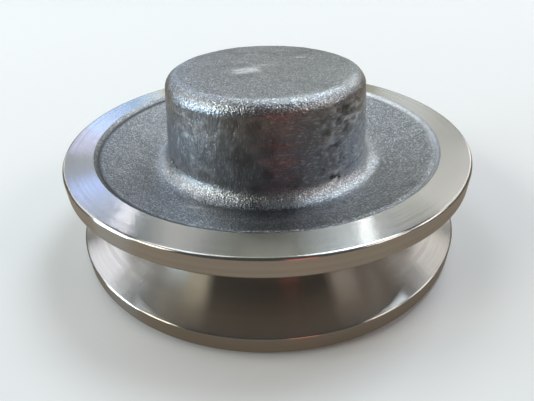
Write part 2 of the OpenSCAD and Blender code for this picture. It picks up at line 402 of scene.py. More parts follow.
def forgedSteelMaterial():
    look = forgedLook
    material, tree, shader = newMaterial("forgedSkin", Metallic=1.0)
    # the first layer is wear with a painted highlight, the second black scale with painted shade
    wearAndHighlight, scaleAndShade, side, lying = (addNode(tree, "ShaderNodeAttribute", {"attribute_name": label}).outputs["Fac"]
                                 for label in ("wearAndHighlight", "scaleAndShade", "dragged", "lying"))
    grain = placeGroup(tree, blastGrain, Dimple_Size_mm=look["dimpleMm"], Grit=look["grit"])
    dull = placeGroup(tree, handled, Patch_Size_mm=look["patchMm"], Spread=look["spread"])["Dull"]
    drag = placeGroup(tree, dragMarks, Width_mm=look["dragWidthMm"], Length_mm=look["dragLengthMm"], Lying=lying)
    # the die wiped most of the grain off the hub's side
    still = calc(tree, "SUBTRACT", 1.0, calc(tree, "MULTIPLY", side, look["dragStills"]))
    sparkle = calc(tree, "MULTIPLY", grain["Sparkle"], still)
    base = mixColours(tree, sparkle, look["darkMetal"], look["brightMetal"])
    streak = calc(tree, "MULTIPLY", calc(tree, "MULTIPLY", drag["Streaks"], side), look["dragStreaks"])
    base = mixColours(tree, streak, base, look["brightMetal"])
    base = mixColours(tree, wearAndHighlight, base, look["wearAndHighlightMetal"])
    # dull patches, black scale, painted shade and pinholes all darken the metal towards the scale colour
    dirt = calc(tree, "MAXIMUM", calc(tree, "MULTIPLY", dull, look["dirt"]), scaleAndShade)
    dirt = calc(tree, "MAXIMUM", dirt, calc(tree, "MULTIPLY", grain["Pinholes"], look["pinholes"]))
    rough = calc(tree, "ADD", rampNode(tree, wearAndHighlight, 0.0, 1.0, *look["roughness"]),
                 calc(tree, "MULTIPLY", dull, look["dulled"]))
    fill(tree, shader, Base_Color=mixColours(tree, dirt, base, look["scale"]), Roughness=rough)
    height = calc(tree, "MULTIPLY", grain["Height"], calc(tree, "MULTIPLY", still, look["bumpMm"]))
    scratch = calc(tree, "MULTIPLY", drag["Height"], calc(tree, "MULTIPLY", side, look["dragBumpMm"]))
    bump(tree, shader, calc(tree, "ADD", height, scratch), 1.0, 1.0)
    return material


turnedLooks = {
    # metal colour, roughness (clean and handled), anisotropy
    "turnedRim": ((0.57, 0.558, 0.545), (0.17, 0.22), 1.0),
    "turnedBore": ((0.42, 0.41, 0.40), (0.3, 0.45), 0.5),
    "turnedShaft": ((0.58, 0.58, 0.57), (0.2, 0.34), 0.6),
}
turnedFinish = {
    "stained": (0.40, 0.38, 0.35), "bandStain": 0.2, "patchStain": 0.25, "patchMm": 22.0, "spread": 0.3,
    "pitchMm": 0.2, "unevenness": 0.4, "lineMm": 0.0006, "rippleMm": 0.0014,
}


def turnedSteelMaterial(name, metal, roughness, anisotropy):
    look = turnedFinish
    material, tree, shader = newMaterial(name, Metallic=1.0, Anisotropic=anisotropy, Anisotropic_Rotation=0.25)
    lines = placeGroup(tree, turnedLines, Pitch_mm=look["pitchMm"], Unevenness=look["unevenness"])
    dull = placeGroup(tree, handled, Patch_Size_mm=look["patchMm"], Spread=look["spread"])["Dull"]
    roundAxis = addNode(tree, "ShaderNodeTangent", {"direction_type": "RADIAL", "axis": "Z"})
    base = mixColours(tree, calc(tree, "MULTIPLY", lines["Bands"], look["bandStain"]), metal, look["stained"])
    base = mixColours(tree, calc(tree, "MULTIPLY", dull, look["patchStain"]), base, look["stained"])
    worn = calc(tree, "ADD", calc(tree, "MULTIPLY", lines["Bands"], 0.5), calc(tree, "MULTIPLY", dull, 0.5))
    fill(tree, shader, Base_Color=base, Tangent=roundAxis.outputs[0],
         Roughness=rampNode(tree, worn, 0.0, 1.0, *roughness))
    height = calc(tree, "ADD", calc(tree, "MULTIPLY", lines["Height"], look["lineMm"]),
                  calc(tree, "MULTIPLY", lines["Ripple"], look["rippleMm"]))
    bump(tree, shader, height, 1.0, 1.0)
    return material


plainLooks = {
    # clean and handled colours, roughness (clean and handled), patch size and grain depth in mm
    "groundRing": ((0.60, 0.61, 0.62), (0.48, 0.48, 0.47), (0.16, 0.3), 7.0, 0.003),
    "polishedBall": ((0.74, 0.75, 0.77), (0.66, 0.66, 0.67), (0.04, 0.1), 3.0, 0.0005),
    "pressedCage": ((0.46, 0.45, 0.43), (0.34, 0.33, 0.31), (0.28, 0.45), 4.0, 0.006),
    "blackSpring": ((0.05, 0.05, 0.055), (0.12, 0.115, 0.11), (0.34, 0.52), 3.0, 0.008),
}


def plainMetal(name, clean, worn, roughness, patchMm, bumpMm):
    material, tree, shader = newMaterial(name, Metallic=1.0)
    grain = placeGroup(tree, blastGrain, Dimple_Size_mm=0.25, Grit=0.5)
    dull = placeGroup(tree, handled, Patch_Size_mm=patchMm, Spread=0.5)["Dull"]
    fill(tree, shader, Base_Color=mixColours(tree, dull, clean, worn),
         Roughness=rampNode(tree, dull, 0.0, 1.0, *roughness))
    bump(tree, shader, grain["Height"], 0.3, bumpMm)
    return material


rubberLook = {"clean": (0.018, 0.018, 0.02), "dusty": (0.06, 0.058, 0.055), "dust": 0.6,
              "roughness": (0.48, 0.72), "patchMm": 5.0, "grainMm": 0.18, "bumpMm": 0.02}


def sealRubberMaterial():
    look = rubberLook
    material, tree, shader = newMaterial("sealRubber", Metallic=0.0, Specular_IOR_Level=0.4)
    grain = placeGroup(tree, blastGrain, Dimple_Size_mm=look["grainMm"], Grit=0.7)
    dull = placeGroup(tree, handled, Patch_Size_mm=look["patchMm"], Spread=0.6)["Dull"]
    base = mixColours(tree, calc(tree, "MULTIPLY", dull, look["dust"]), look["clean"], look["dusty"])
    fill(tree, shader, Base_Color=base, Roughness=rampNode(tree, dull, 0.0, 1.0, *look["roughness"]))
    bump(tree, shader, grain["Height"], 0.35, look["bumpMm"])
    return material


forgedSkin = forgedSteelMaterial()
turnedRim, turnedBore, turnedShaft = (turnedSteelMaterial(name, *look) for name, look in turnedLooks.items())
groundRing, polishedBall, pressedCage, blackSpring = (plainMetal(name, *look)
                                                      for name, look in plainLooks.items())
sealRubber = sealRubberMaterial()
print("materials made")


wheelSizes = {
    "rearZ": 1.5, "frontZ": 26.5, "hubTopZ": 43.3,
    "rimR": 50.8, "ringR": 43.85, "webEdgeR": 42.35, "webStep": 0.9, "webSlope": math.tan(math.radians(19)),
    "rootR": 36.3, "landW": 4.35, "flankDrop": 14.5 * math.tan(math.radians(17)),
    "hubTopR": 24.3, "draft": math.tan(math.radians(5.4)),
    # roundings
    "hubEdge": 3.6, "fillet": 3.5, "flangeEdge": 0.6, "flankEdge": 0.42, "rootRound": 0.8,
    "recessFoot": 0.5, "recessLip": 0.3, "ringEdge": 0.12, "rearRingEdge": 0.08, "rearFaceEdge": 0.35,
    # the bore from the rear inwards, with its circlip groove: radius, height, rounding
    "bore": [(20.8, 1.5, 0.08), (20.0, 2.3, 0.08), (20.0, 4.2, 0), (21.25, 4.2, 0), (21.25, 6.05, 0),
             (20.0, 6.05, 0), (20.0, 34.5, 0), (17.4, 34.5, 0.1), (17.4, 35.1, 0.1), (16.0, 36.1, 0.1),
             (16.0, 37.2, 0.3), (15.0, 38.2, 0.3), (0, 38.2, 0)],
}


def wheelCorners():
    s = wheelSizes
    top, front, rear = s["hubTopZ"], s["frontZ"], s["rearZ"]
    rim, ring, webEdge = s["rimR"], s["ringR"], s["webEdgeR"]
    step, slope, draft = s["webStep"], s["webSlope"], s["draft"]
    faceR = s["hubTopR"] + (top - front) * draft
    footR = (faceR + (step + webEdge * slope) * draft) / (1 + slope * draft)
    drop = (footR - faceR) / draft
    land, flank = s["landW"], s["flankDrop"]
    corners = [
        (0, top, 0, "hubTop"),
        (s["hubTopR"], top, s["hubEdge"], "hubSide"),
        (footR, front - drop, s["fillet"], "web"),
        (webEdge - 0.6, front - step - 0.6 * slope, s["recessFoot"], "recessWall"),
        (webEdge + 0.45, front - step - 0.08, s["recessLip"], "recessWall"),
        (ring, front, s["ringEdge"], "rimFace"),
        (rim, front, s["flangeEdge"], "land"),
        (rim, front - land, s["flankEdge"], "flank"),
        (s["rootR"], front - land - flank, s["rootRound"], "root"),
        (s["rootR"], rear + land + flank, s["rootRound"], "flank"),
        (rim, rear + land, s["flankEdge"], "land"),
        (rim, rear, s["flangeEdge"], "rimFace"),
        (ring, rear, s["rearRingEdge"], "recessWall"),
        (webEdge, rear + step, s["recessFoot"], "rearWeb"),
        (footR, rear + drop, s["fillet"], "rearWeb"),
        (faceR, rear, s["rearFaceEdge"], "rearFace"),
    ]
    return corners + [(radius, height, rounding, "bore") for radius, height, rounding in s["bore"]]


rowSpacing = {"hubTop": 0.52, "hubSide": 0.45, "web": 0.56, "recessWall": 0.4, "rimFace": 1.2, "land": 1.2,
              "flank": 1.8, "root": 1.5, "rearWeb": 1.5, "rearFace": 1.2, "bore": 3.0}
ringSegments = {"hubTop": 480, "hubSide": 480, "web": 480, "recessWall": 480, "rimFace": 240, "land": 240,
                "flank": 240, "root": 240, "rearWeb": 240, "rearFace": 240, "bore": 120}
forgedZones = ["hubTop", "hubSide", "web", "recessWall", "rearWeb"]
wheelSlots = {zone: 0 if zone in forgedZones else 1 for zone in rowSpacing}
wheelSlots["bore"] = 2

skinMarks = {
    # dents and scuffs: angle, radius, height, half length, half width, depth
    "bruise": (-152, 5.0, 43.3, 3.4, 1.6, 0.10),
    "scuffs": [(42.8, 12.6, 43.3, 1.3, 0.25, 0.09), (31, 14.3, 43.3, 1.1, 0.22, 0.08),
               (60, 9.5, 43.3, 0.9, 0.2, 0.06), (150, 16, 43.3, 1.0, 0.25, 0.06)],
    "pits": [(-154.6, 26.1, 24.0, 0.7, 0.6, 0.6), (-151, 26.0, 24.8, 0.4, 0.35, 0.35),
             (-147, 26.0, 23.9, 0.5, 0.3, 0.3), (-56, 26.0, 24.5, 1.1, 0.35, 0.35),
             (-51, 26.1, 23.8, 0.5, 0.3, 0.3), (35, 25.6, 30.0, 0.5, 0.5, 0.35),
             (120, 25.9, 26.0, 0.7, 0.4, 0.35)],
    # bright rubbed places: angle, radius, height, half length, half width, strength
    "rubs": [(-152, 5.0, 43.3, 3.6, 2.4, 1.0), (-176, 2.6, 43.3, 2.0, 1.2, 0.7),
             (100, 2.2, 43.3, 3.0, 1.0, 0.45),
             (62, 5.2, 43.3, 2.2, 0.6, 0.4), (-148, 7.6, 43.3, 1.6, 0.9, 0.5), (42.8, 12.6, 43.3, 1.7, 0.5, 1.0),
             (31, 14.3, 43.3, 1.5, 0.45, 0.9), (60, 9.5, 43.3, 1.2, 0.3, 0.6), (110, 13, 43.3, 1.6, 0.5, 0.7),
             (75, 16, 43.3, 2.4, 0.55, 0.7), (15, 9.0, 43.3, 1.5, 0.4, 0.35), (-60, 9.0, 43.3, 0.5, 0.4, 0.5),
             (-8, 17, 43.3, 1.2, 0.4, 0.4), (-100, 35.5, 23.3, 3.6, 0.5, 0.5), (-90, 37.0, 23.8, 5.0, 0.6, 0.45),
             (-82, 36.4, 23.5, 3.0, 0.5, 0.4), (-119, 33.6, 22.6, 2.6, 1.1, 0.55),
             (-70, 35.0, 23.1, 2.5, 0.9, 0.4)],
    # long folds pressed into the hub's side: start and end angle, start and end height, depth
    "laps": [(-66, -14, 26.6, 31.5, 0.20), (-62, -10, 23.8, 26.6, 0.25), (-72, -20, 31.0, 34.4, 0.13),
             (-58, -22, 35.6, 36.9, 0.12), (-44, -12, 38.2, 38.8, 0.10), (100, 160, 26.0, 29.0, 0.15),
             (20, 60, 30.0, 33.0, 0.1)],
    "lapHalfWidth": 0.32,
}
skinZones = {
    # heights or angles at which a kind of skin starts, is full, starts to fade and ends
    "sideUp": (22.5, 25.5, 39.5, 42.0),
    "draggedUp": (22.0, 25.0, 39.5, 42.0),
    "filletUp": (19.3, 20.6, 23.0, 25.5),
    "rightRound": (-112, -70, 60, 100),
    "tornRound": (-72, -48, 60, 100),
    # painted shade across the front of the hub's side
    "frontShadeRound": (-135, -110, -60, -30),
    # painted shade on the fillet's front
    "filletShadeRound": (-106, -95, -81, -70),
    # radii or heights between which it lies
    "sideR": (22, 29), "draggedR": (20, 29), "filletR": (25, 33), "lapR": (22, 27.5), "webZ": (14, 26),
}
skinRelief = {
    "lumps": [(0.05, 7.0, 3, 2), (0.018, 1.9, 11, 2), (0.03, 0.75, 29, 1)],    # height, size, seed, octaves
    "mottle": 0.055, "lying": 0.012, "lyingRight": 0.075, "torn": 0.22, "filletSwell": 0.25, "webEase": 0.07,
}
# how much each mask brightens the skin; the recess wall's share is a painted highlight
wearAndHighlightShares = {"patchy": 0.12, "edge": 0.08, "fillet": 0.12, "top": 0.1, "wall": 0.9}


def skinSpot(angle, radius, height):
    a = math.radians(angle)
    return np.array([radius * math.cos(a), radius * math.sin(a), height])


def acrossLap(lap, theta, radius, height):
    # how far along a fold a place is (0 outside it) and how many half widths above its line
    startAngle, endAngle, startZ, endZ, _ = lap
    t = (theta - startAngle) / (endAngle - startAngle)
    line = startZ + (endZ - startZ) * t + 0.35 * np.sin(t * 9 + startZ) + 0.12 * np.sin(t * 31 + startAngle)
    inside = between(t, 0, 0.15, 0.85, 1) * within(radius, *skinZones["lapR"]) * (height < 41)
    return inside, (height - line) / skinMarks["lapHalfWidth"]


def sideRelief(p, theta, radius, height):
    # the hub's side: its mask, its right half, a mottle, where the skin tore, and the scale's relief there
    side = between(height, *skinZones["sideUp"]) * within(radius, *skinZones["sideR"])
    rightSide = between(theta, *skinZones["rightRound"])
    mottled = lumps(p, (1.2, 1.2, 1.6), 41, 3)
    torn = ramp(softNoise(p, 8.0, 71), -0.45, 0.3) * between(theta, *skinZones["tornRound"]) * side
    scaly = 0.6 * lumps(p, (1.7, 1.7, 1.0), 83, 3) + 0.6 * softNoise(p, 1.1, 87)
    return side, rightSide, mottled, torn, scaly


def forgedShape(points, radii, angles, heights, zones):
    forged = np.isin(zones, forgedZones)
    push = np.zeros(len(points))
    p, radius, height = points[forged], radii[forged], heights[forged]
    theta = np.degrees(angles[forged])
    theta = np.where(theta > 180, theta - 360, theta)
    relief = skinRelief
    away = sum(high * lumps(p, size, seed, octaves) for high, size, seed, octaves in relief["lumps"])
    # mottled on the left of the hub's side, marks lying along it and torn scale on the right
    side, rightSide, mottled, torn, scaly = sideRelief(p, theta, radius, height)
    lying = lumps(p, (6.0, 6.0, 0.95), 57, 3)
    away += side * (relief["mottle"] * mottled * (1 - rightSide)
                    + (relief["lying"] + relief["lyingRight"] * rightSide) * lying)
    away += relief["torn"] * torn * scaly
    # the fillet swells and thins round the hub, and the web eases off beside it on the left
    fillet = between(height, *skinZones["filletUp"]) * within(radius, *skinZones["filletR"])
    away += fillet * relief["filletSwell"] * softNoise(p, (7.0, 7.0, 60.0), 91)
    eased = 1 - ramp(np.abs((theta + 350) % 360 - 180), 28, 48)       # strongest at -170 degrees
    front = within(height, 15, 30)
    away += front * eased * relief["webEase"] * np.clip(33.6 - radius, 0, 4) * ramp(radius, 28.5, 30.5)
    dents = [skinMarks["bruise"]] + skinMarks["scuffs"] + skinMarks["pits"]
    for angle, r, z, halfLength, halfWidth, depth in dents:
        a = math.radians(angle)
        # dents on the top lie across it, and pits lie along the side
        along = np.array([1.0, 0.0, 0.0]) if z > 43 else np.array([-math.sin(a), math.cos(a), 0.0])
        gap = p - skinSpot(angle, r, z)
        u = gap @ along
        v = np.linalg.norm(gap - np.outer(u, along), axis=1)
        away -= depth * bell(u, 0, halfLength) * bell(v, 0, halfWidth)
    for lap in skinMarks["laps"]:
        inside, gap = acrossLap(lap, theta, radius, height)
        away -= inside * lap[4] * (bell(gap, 0, 1) - 0.6 * bell(gap, 1.9, 1))
    push[forged] = away * (1 - ramp(radius, 43.0, 43.8))              # the skin fades out at the turned ring
    return push


def paintSkin(piece):
    # four masks for the forged skin: rubbed bright with a painted highlight on the recess wall, black scale with
    # painted shade, dragged by the die, and which way it was dragged
    mesh = piece.data
    co = np.empty(len(mesh.vertices) * 3)
    mesh.vertices.foreach_get("co", co)
    p = co.reshape(-1, 3) / mm
    radius, height = np.hypot(p[:, 0], p[:, 1]), p[:, 2]
    theta = np.degrees(np.arctan2(p[:, 1], p[:, 0]))
    side, rightSide, mottled, torn, scaly = sideRelief(p, theta, radius, height)
    dragged = between(height, *skinZones["draggedUp"]) * within(radius, *skinZones["draggedR"])
    leftward = -p[:, 0] - 0.35 * p[:, 1]
    masks = {
        "patchy": ramp(lumps(p, 5.0, 101, 3), 0.1, 1.0),
        "edge": bell(radius, 23.2, 1.8) * bell(height, 42.3, 1.5),
        "fillet": bell(radius, 28.0, 2.6) * bell(height, 21.6, 2.2),
        "top": ramp(height, 42.6, 43.1),
        # painted highlight along the recess wall, faded out on the left
        "wall": bell(radius, 43.25, 0.5) * (height > 20) * (1 - ramp(leftward, -12, 8)),
    }
    wearAndHighlight = sum(share * masks[label] for label, share in wearAndHighlightShares.items())
    streaky = 0.7 + 0.6 * lumps(p, (1.2, 0.7, 0.7), 117, 2)
    for angle, r, z, halfLength, halfWidth, strength in skinMarks["rubs"]:
        gap = p - skinSpot(angle, r, z)
        u, v = gap[:, 0] / halfLength, np.hypot(gap[:, 1], gap[:, 2]) / halfWidth
        wearAndHighlight += strength * streaky * np.exp(-(u * u + v * v) ** 2)
    # black scale on the hub's side and edge, a patchy darkening of the web, and painted shade across the side's
    # front, on the fillet's front and in the recess's corner at the left
    # black scale on the hub's side with painted shade added across its front; lighter from -58 degrees round to
    # the right
    sideScaleAndShade = (0.2 + 0.25 * between(theta, *skinZones["frontShadeRound"])
                + 0.26 * ramp(lumps(p, (3.0, 3.0, 3.5), 131, 3), -0.2, 1.0))
    web = within(height, *skinZones["webZ"]) * ramp(radius, 29.5, 32.0) * (radius < 43)
    # a patchy darkening of the web, stronger towards the left
    webDarkening = 0.08 + 0.08 * ramp(lumps(p, 9.0, 151, 3), -0.3, 0.9) + 0.13 * ramp(-p[:, 0], 0, 30)
    # painted shade on the fillet's front, made patchy
    filletPaintedShade = (0.62 + 0.22 * lumps(p, 2.2, 171, 2)) * between(theta, *skinZones["filletShadeRound"])
    # painted shade in the recess's corner, on the left only
    cornerPaintedShade = 0.85 * bell(radius, 42.7, 0.55) * (height > 20) * ramp(leftward, 0, 25)
    scaleAndShadeParts = [dragged * sideScaleAndShade * (1 - 0.65 * ramp(theta, -58, -30)), 0.2 * masks["edge"], web * webDarkening,
             filletPaintedShade * masks["fillet"], cornerPaintedShade]
    for angle, r, z, halfLength, halfWidth, _ in skinMarks["pits"]:
        gap = p - skinSpot(angle, r, z)
        scaleAndShadeParts.append(1.3 * np.exp(-(gap ** 2).sum(axis=1) / (halfLength * halfWidth * 1.8)))
    for lap in skinMarks["laps"]:
        inside, gap = acrossLap(lap, theta, radius, height)
        scaleAndShadeParts.append(inside * 4.5 * lap[4] * bell(gap, 0, 1) * (0.6 + 0.6 * softNoise(p, 1.6, 163)))
    scaleAndShade = np.maximum.reduce(scaleAndShadeParts)
    # high places are rubbed bright and hollows keep their scale
    for mask, relief, bright, dark in ((torn, scaly, 1.0, 0.6), (side * (1 - rightSide), mottled, 0.25, 0.12)):
        wearAndHighlight += bright * mask * ramp(relief, 0.1, 0.8)
        scaleAndShade += dark * mask * ramp(-relief, 0.05, 0.8)
    for label, values in (("wearAndHighlight", wearAndHighlight), ("scaleAndShade", scaleAndShade), ("dragged", dragged), ("lying", rightSide)):
        layer = mesh.attributes.new(label, "FLOAT", "POINT")
        layer.data.foreach_set("value", np.clip(values, 0, 1).astype(np.float32))


wheel = sweep("pulleyWheel", wheelCorners(), rowSpacing, ringSegments, wheelSlots,
              [forgedSkin, turnedRim, turnedBore], forgedShape)
paintSkin(wheel)
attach(wheel, "wheel")
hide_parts("pulley_wheel")
print("wheel made")


spindleSizes = {
    "journalR": 8.5, "seatR": 11.5, "seatZ": 6.0, "endZ": 37.0, "endChamfer": 0.8, "seatChamfer": 0.5,
    "clipZ": (34.5, 35.6), "clipR": 8.1,
    "tapR": 4.25, "tapZ": 20.0, "tipZ": 22.55, "mouthR": 5.25, "mouthZ": 1.0,
    "pitch": 1.5, "threadDepth": 0.75, "threadEnd": 16.5,
    "grooveHalf": 0.485, "flankRun": 0.433,        # half the thread groove's mouth, and its flank's run
    "eased": 0.12, "clipEdge": 0.06, "shoulder": 0.25, "seatEdge": 0.2,
}


def spindleShape(points, radii, angles, heights, zones):
    # cuts the M10 thread into the wall of the tapped hole
    s = spindleSizes
    phase = (heights / s["pitch"] - angles / (2 * math.pi)) % 1
    inward = s["grooveHalf"] - np.abs(phase - 0.5) * s["pitch"]      # distance in from the groove's edge
    depth = s["threadDepth"] * np.clip(inward / s["flankRun"], 0, 1)
    depth *= 1 - ramp(heights, s["threadEnd"] - 0.4, s["threadEnd"] + 0.6)
    cut = np.maximum(0, s["tapR"] + depth - radii)
    return np.where((zones == "thread") & (heights < s["threadEnd"] + 1), -cut, 0.0)


def makeSpindle():
    s = spindleSizes
    low, high = s["clipZ"]
    eased, clipEdge = s["eased"], s["clipEdge"]
    corners = [
        (0, s["endZ"], 0, "shaft"),
        (s["journalR"] - s["endChamfer"], s["endZ"], eased, "shaft"),
        (s["journalR"], s["endZ"] - s["endChamfer"], eased, "shaft"),
        (s["journalR"], high, clipEdge, "shaft"),
        (s["clipR"], high, clipEdge, "shaft"),
        (s["clipR"], low, clipEdge, "shaft"),
        (s["journalR"], low, clipEdge, "shaft"),
        (s["journalR"], s["seatZ"], s["shoulder"], "shaft"),
        (s["seatR"], s["seatZ"], s["seatEdge"], "shaft"),
        (s["seatR"], s["seatChamfer"], eased, "shaft"),
        (s["seatR"] - s["seatChamfer"], 0, eased, "shaft"),
        (s["mouthR"], 0, 0.06, "thread"),
        (s["tapR"], s["mouthZ"], 0.05, "thread"),
        (s["tapR"], s["threadEnd"] + 1, 0, "shaft"),
        (s["tapR"], s["tapZ"], 0.1, "shaft"),
        (0, s["tipZ"], 0, "shaft"),
    ]
    piece = sweep("spindleTurned", corners, {"shaft": 2.5, "thread": 0.125}, {"shaft": 96, "thread": 48},
                  {"shaft": 0, "thread": 0}, [turnedShaft], spindleShape)
    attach(piece, "spindle_set")
    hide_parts("spindle")


makeSpindle()
print("spindle made")


clipSizes = {
    # sign is -1 where the ring lies inside its groove's radius, and 1 where it lies outside
    "boreCirclip": {"node": "bore_circlip", "body": "wheel", "sign": -1, "grooveR": 21.25,
                    "wide": 3.9, "narrow": 2.8, "lugR": 2.8, "holeR": 1.25, "lugAngle": 16,
                    "z": 4.2, "thick": 1.75, "edge": 0.2},
    "shaftCirclip": {"node": "shaft_circlip", "body": "spindle_set", "sign": 1, "grooveR": 8.1,
                     "wide": 2.4, "narrow": 1.7, "lugR": 1.6, "holeR": 0.8, "lugAngle": 20,
                     "z": 34.5, "thick": 1.0, "edge": 0.12},
}


def arcPoints(centre, radius, start, end, steps):
    # angles in degrees, anticlockwise from +X
    turns = [math.radians(start + (end - start) * k / steps) for k in range(steps + 1)]
    return [(centre[0] + radius * math.cos(t), centre[1] + radius * math.sin(t)) for t in turns]


def clipOutline(c):
    # one closed path: along the groove, round one lug, back along the band, round the other lug
    sign, groove, lugR = c["sign"], c["grooveR"], c["lugR"]
    bandR = groove + sign * (c["wide"] + c["narrow"]) / 2
    bandC = (0.0, -sign * (c["wide"] - c["narrow"]) / 2)
    lugAt = groove + sign * (lugR + 0.25)
    tilt = c["lugAngle"]
    lugC = (lugAt * math.sin(math.radians(tilt)), lugAt * math.cos(math.radians(tilt)))
    # where the lug meets the band's free edge, on the side away from the gap
    dx, dy = lugC[0] - bandC[0], lugC[1] - bandC[1]
    gap = math.hypot(dx, dy)
    along = (gap * gap + bandR * bandR - lugR * lugR) / (2 * gap)
    off = math.sqrt(max(bandR * bandR - along * along, 0))
    meets = [(bandC[0] + (along * dx + hand * off * dy) / gap, bandC[1] + (along * dy - hand * off * dx) / gap)
             for hand in (1, -1)]
    meet = max(meets, key=lambda m: math.atan2(m[0], m[1]))
    atLug = math.degrees(math.atan2(meet[1] - lugC[1], meet[0] - lugC[0]))
    atBand = math.degrees(math.atan2(meet[1] - bandC[1], meet[0] - bandC[0]))
    start = 90 - tilt + (0 if sign < 0 else 180)      # where the lug leaves the groove's radius
    end = start - sign * (sign * (start - atLug) % 360)      # round the lug on the gap's side
    half = arcPoints((0, 0), groove, -90, 90 - tilt, 64)
    half += arcPoints(lugC, lugR, start, end, 28)
    half += arcPoints(bandC, bandR, atBand, -90, 64)[1:]
    other = [(-x, y) for x, y in reversed(half)][1:-1]
    return half + other, [lugC, (-lugC[0], lugC[1])]


def facesPerEdge(mesh):
    # how many faces share each edge
    counts = [0] * len(mesh.edges)
    for loop in mesh.loops:
        counts[loop.edge_index] += 1
    return counts


def makeClip(name, c):
    # a stamped ring: flat faces, rounded edges and two plier holes
    outline, lugs = clipOutline(c)
    paths = [outline] + [arcPoints(lug, c["holeR"], 0, 350, 35) for lug in lugs]
    curve = bpy.data.curves.new(name + "Outline", "CURVE")
    curve.dimensions = "2D"
    curve.fill_mode = "BOTH"
    curve.extrude = (c["thick"] / 2 - c["edge"]) * mm
    curve.bevel_depth = c["edge"] * mm
    curve.bevel_resolution = 2
    curve.offset = -c["edge"] * mm
    for path in paths:
        spline = curve.splines.new("POLY")
        spline.points.add(len(path) - 1)
        for point, (x, y) in zip(spline.points, path):
            point.co = (x * mm, y * mm, 0, 1)
        spline.use_cyclic_u = True
    drawn = addObject(name + "Outline", curve)
    mesh = bpy.data.meshes.new_from_object(drawn.evaluated_get(bpy.context.evaluated_depsgraph_get()))
    bpy.data.objects.remove(drawn)
    mesh.transform(Matrix.Translation((0, 0, (c["z"] + c["thick"] / 2) * mm)))
    joined = bmesh.new()
    joined.from_mesh(mesh)
    bmesh.ops.remove_doubles(joined, verts=joined.verts, dist=0.004 * mm)
    joined.to_mesh(mesh)
    joined.free()
    mesh.name = name
    mesh.materials.clear()
    mesh.materials.append(blackSpring)
    mesh.shade_smooth()
    mesh.set_sharp_from_angle(angle=math.radians(35))
    piece = addObject(name, mesh)
    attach(piece, c["body"])
    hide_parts(c["node"])
    openEdges = sum(1 for count in facesPerEdge(mesh) if count != 2)
    print(name, len(mesh.polygons), "faces", openEdges, "open edges")


for clipName, clip in clipSizes.items():
    makeClip(clipName, clip)


sealProfile = [
    # radius, height above the bearing's middle, rounding: the outer face from the lip outwards, then its back
    (11.65, 5.30, 0), (11.84, 5.65, 0.06), (12.45, 5.65, 0.1), (12.75, 5.44, 0.1), (13.15, 5.44, 0.1),
    (13.35, 5.60, 0.07), (13.65, 5.60, 0.07), (13.85, 5.46, 0.07), (15.85, 5.46, 0.07), (16.05, 5.60, 0.07),
    (16.3, 5.60, 0.07), (16.45, 5.50, 0.06), (16.6, 5.50, 0.06), (16.75, 5.65, 0.08), (17.85, 5.65, 0.12),
    (17.85, 4.62, 0.12), (16.4, 4.62, 0.1), (16.3, 4.72, 0.05), (12.75, 4.72, 0.05), (12.05, 4.92, 0.1),
]
sealPlaces = {"front_bearing": 28.5, "rear_bearing": 12.0}      # height of each bearing's middle


def makeSeals():
    # one moulded ring, used four times: a bead in the outer ring, two ribs, and a lip on the inner ring
    for bearing, middle in sealPlaces.items():
        for facing, up in (("front", 1), ("rear", -1)):
            corners = [(r, middle + up * z, rounding, "rubber") for r, z, rounding in sealProfile]
            if up < 0:
                corners.reverse()
            name = bearing.replace("_bearing", "") + facing.capitalize() + "Seal"
            piece = sweep(name, corners, {"rubber": 0.6}, {"rubber": 120}, {"rubber": 0}, [sealRubber],
                          closed=True)
            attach(piece, "wheel")
            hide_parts(bearing + "_seal_" + facing)


makeSeals()
print("seals made")


for nodeName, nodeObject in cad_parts.items():
    if nodeName.endswith("_ring"):
        finish = groundRing
    elif "_ball_" in nodeName:
        finish = polishedBall
    elif "_cage_" in nodeName:
        finish = pressedCage
    elif "_seal_" in nodeName:
        finish = sealRubber
    elif nodeName.endswith("circlip"):
        finish = blackSpring
    elif nodeName in ("spindle", "inner_spacer"):
        finish = turnedShaft
    else:
        continue
    for slot in nodeObject.material_slots:
        slot.material = finish
print("bearings finished")


floorLook = {"seen": (0.93, 0.93, 0.93), "reflected": (0.40, 0.325, 0.25), "halfWidth": 1.05}


def mixByRay(tree, ray, usual, special, end):
    mix = addNode(tree, "ShaderNodeMixShader")
    path = addNode(tree, "ShaderNodeLightPath")
    for socket, value in zip(mix.inputs, (path.outputs[ray], usual.outputs[0], special.outputs[0])):
        feed(tree, socket, value)
    fill(tree, tree.nodes[end], Surface=mix.outputs[0])


def makeFloor():
    # pale to look at; the metal mirrors a dull wooden bench top
    look = floorLook
    material = bpy.data.materials.new("paleFloor")
    material.use_nodes = True
    tree = material.node_tree
    tree.nodes.remove(tree.nodes["Principled BSDF"])
    pale = addNode(tree, "ShaderNodeBsdfDiffuse", None, Color=look["seen"])
    bench = addNode(tree, "ShaderNodeBsdfDiffuse", None, Color=look["reflected"])
    mixByRay(tree, "Is Glossy Ray", pale, bench, "Material Output")
    w = look["halfWidth"]
    mesh = bpy.data.meshes.new("floor")
    mesh.from_pydata([(-w, -w, 0), (w, -w, 0), (w, w, 0), (-w, w, 0)], [], [(0, 1, 2, 3)])
    mesh.materials.append(material)
    addObject("floor", mesh)


makeFloor()


worldLook = {"colour": (0.95, 0.97, 1.0), "strength": 0.08, "seen": (0.90, 0.90, 0.90)}


def makeWorld():
    # a little fill light, and a pale backdrop where the floor ends
    look = worldLook
    world = bpy.data.worlds.new("studio")
    bpy.context.scene.world = world
    world.use_nodes = True
    tree = world.node_tree
    glow = fill(tree, tree.nodes["Background"], Color=look["colour"], Strength=look["strength"])
    backdrop = addNode(tree, "ShaderNodeBackground", None, Color=look["seen"], Strength=1.0)
    mixByRay(tree, "Is Camera Ray", glow, backdrop, "World Output")


makeWorld()


